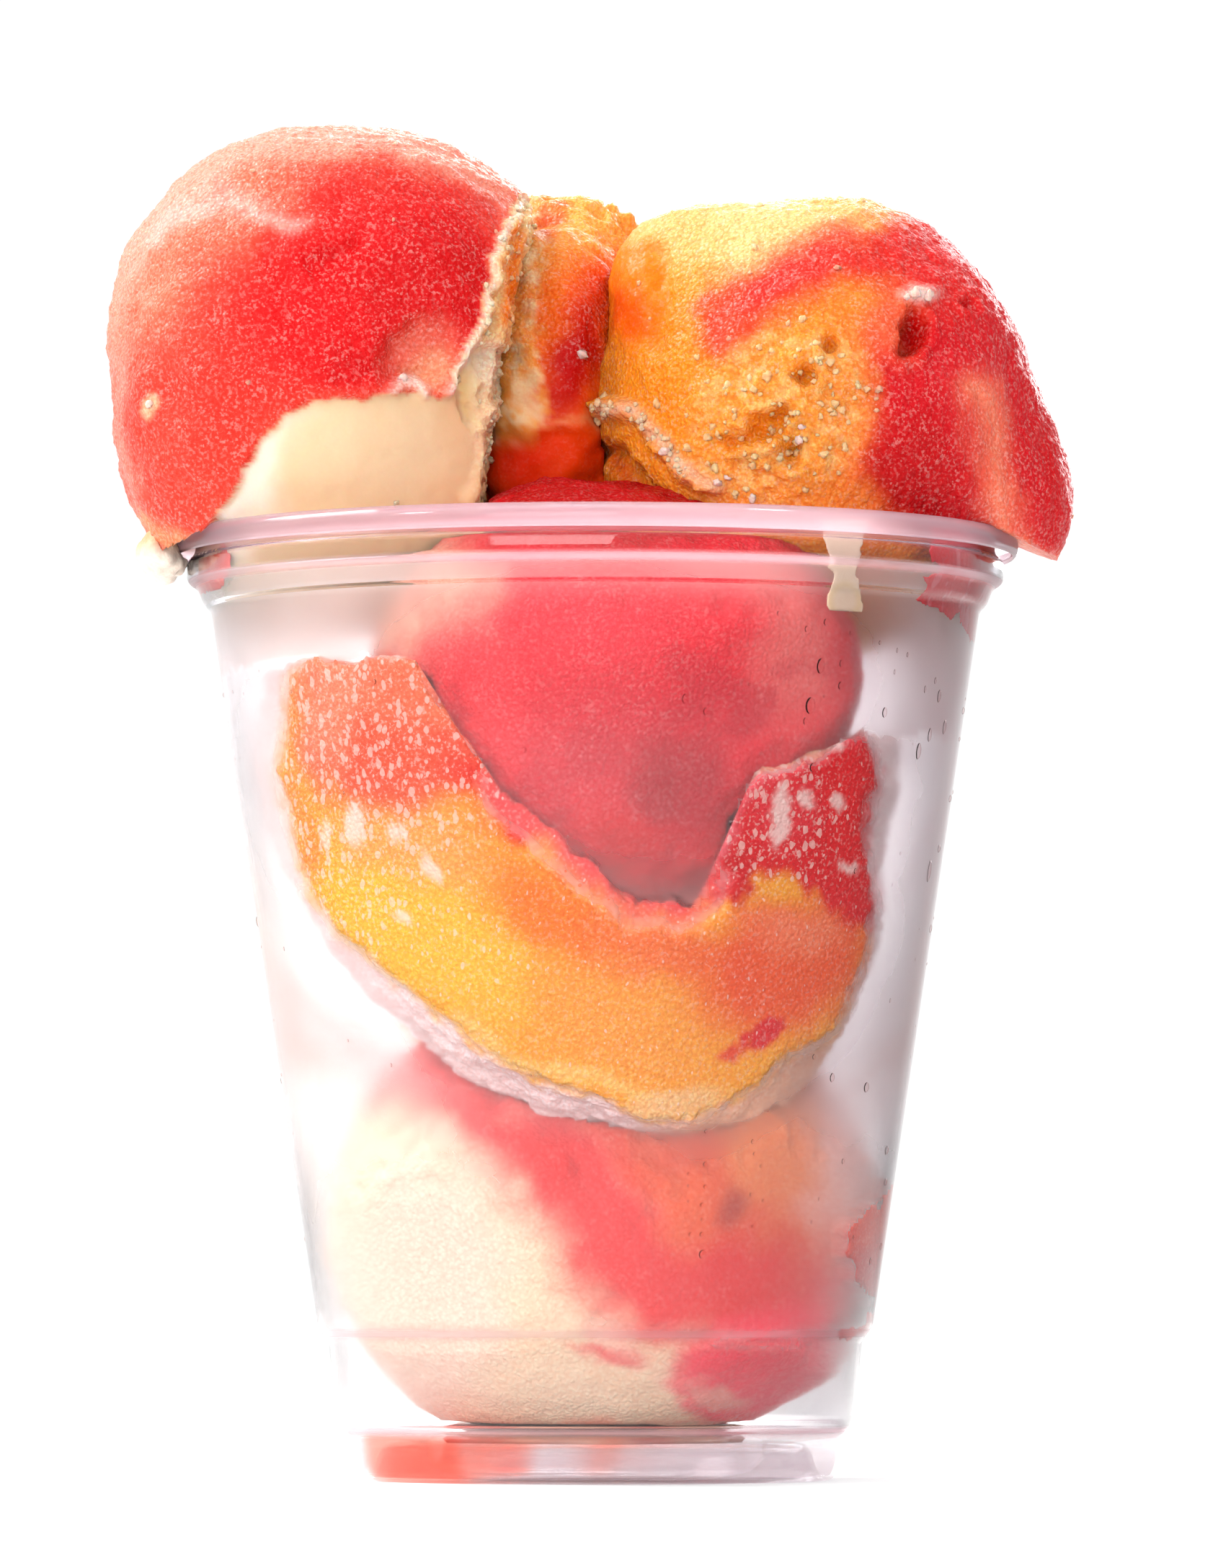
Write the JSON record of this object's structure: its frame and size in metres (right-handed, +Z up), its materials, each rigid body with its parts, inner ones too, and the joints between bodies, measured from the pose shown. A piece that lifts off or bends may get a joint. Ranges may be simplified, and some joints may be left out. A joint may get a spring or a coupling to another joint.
{
  "type": "water ice",
  "caption": "Heaped scoops of coloured water ice in a clear plastic cup with a curled rim, a banded collar and a raised floor.",
  "frame": {"origin": "centre of the cup's foot, on the surface it stands on", "axes": "+Z up along the cup's axis, +X to the viewer's right, +Y away from the viewer"},
  "size_m": [0.1108, 0.098, 0.1561],
  "materials": {
    "clear_plastic": "clear gloss",
    "ice_coral": "frosty",
    "ice_crimson": "frosty",
    "ice_gold": "frosty",
    "ice_cream": "frosty"
  },
  "bodies": {
    "root": {"cup": "clear_plastic", "scoop_left": "ice_coral", "scoop_right": "ice_gold", "scoop_back": "ice_gold", "scoop_upper": "ice_crimson", "scoop_middle": "ice_gold", "scoop_lower": "ice_cream"}
  },
  "joints": []
}
